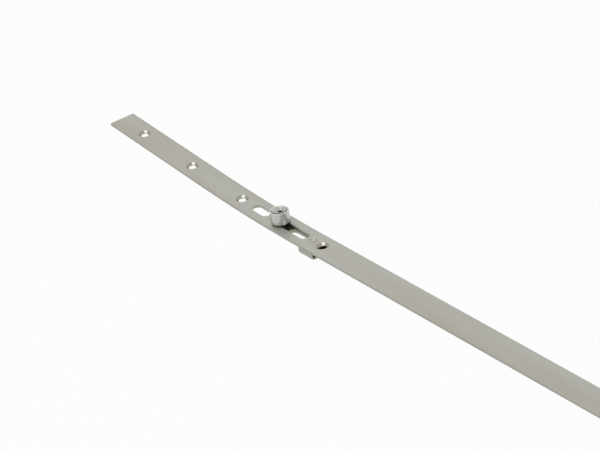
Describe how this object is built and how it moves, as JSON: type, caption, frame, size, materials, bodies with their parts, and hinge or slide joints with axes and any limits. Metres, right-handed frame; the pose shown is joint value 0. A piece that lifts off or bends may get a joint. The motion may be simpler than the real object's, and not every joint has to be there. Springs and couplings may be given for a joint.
{
  "type": "window espagnolette",
  "caption": "Slim steel faceplate with a sliding drive rod, eccentric roller cams and a rack gearbox worked by a square spindle.",
  "frame": {"origin": "middle of the faceplate's underside, its seat in the sash, straight above the spindle axis", "axes": "+X along the faceplate, away from the bowed end; +Y across it; +Z out of the outer face, the way the cams point"},
  "size_m": [0.9997, 0.016, 0.0482],
  "materials": {
    "plate_steel": "zinc-plated rolled strip, satin",
    "rod_steel": "zinc-plated flat bar, satin",
    "clip_steel": "zinc-plated pressed sheet",
    "rivet_steel": "plated rivet, fine turned",
    "cam_steel": "bright turned steel, lightly polished",
    "pin_steel": "turned steel, satin",
    "glide_plastic": "moulded acetal, black",
    "case_zinc": "die-cast zinc, fine matt",
    "gear_steel": "sintered steel, lightly greased",
    "screw_steel": "plated screw"
  },
  "bodies": {
    "fixed_part": {"faceplate": "plate_steel", "guide_clip_left": "clip_steel", "guide_clip_right": "clip_steel", "clip_rivets": "rivet_steel", "case_tray": "case_zinc", "case_cover": "case_zinc", "case_rivets": "rivet_steel", "end_block_left": "case_zinc", "end_block_right": "case_zinc", "gearbox_screws": "screw_steel", "handle_pillar_left": "pin_steel", "handle_pillar_right": "pin_steel"},
    "drive_rods": {"drive_rod_left": "rod_steel", "drive_rod_right": "rod_steel", "rack_bar": "gear_steel", "rack_rivets": "rivet_steel", "cam_glide_left": "glide_plastic", "cam_glide_right": "glide_plastic", "cam_washer_left": "pin_steel", "cam_washer_right": "pin_steel"},
    "follower": {"follower_pinion": "gear_steel"},
    "left_cam_pin": {"cam_pin_left": "pin_steel"},
    "right_cam_pin": {"cam_pin_right": "pin_steel"},
    "left_roller": {"cam_roller_left": "cam_steel"},
    "right_roller": {"cam_roller_right": "cam_steel"}
  },
  "joints": [
    {"name": "rod_slide", "type": "slide", "parent": "fixed_part", "child": "drive_rods", "axis": [1, 0, 0], "range_m": [0, 0.01767]},
    {"name": "spindle_turn", "type": "hinge", "parent": "fixed_part", "child": "follower", "pos_m": [0, 0, -0.0205], "axis": [0, 1, 0], "range_deg": [0, 90]},
    {"name": "left_cam_adjust", "type": "hinge", "parent": "drive_rods", "child": "left_cam_pin", "pos_m": [-0.34, 0, 0], "axis": [0, 0, 1], "range_deg": [-90, 90]},
    {"name": "left_roller_spin", "type": "hinge", "parent": "left_cam_pin", "child": "left_roller", "pos_m": [-0.3408, 0, 0.006], "axis": [0, 0, 1], "continuous": true},
    {"name": "right_cam_adjust", "type": "hinge", "parent": "drive_rods", "child": "right_cam_pin", "pos_m": [0.32233, 0, 0], "axis": [0, 0, 1], "range_deg": [-90, 90]},
    {"name": "right_roller_spin", "type": "hinge", "parent": "right_cam_pin", "child": "right_roller", "pos_m": [0.32313, 0, 0.006], "axis": [0, 0, 1], "continuous": true}
  ],
  "couplings": [
    {"joint": "spindle_turn", "follows": "rod_slide", "rad_per_m": 88.889}
  ]
}
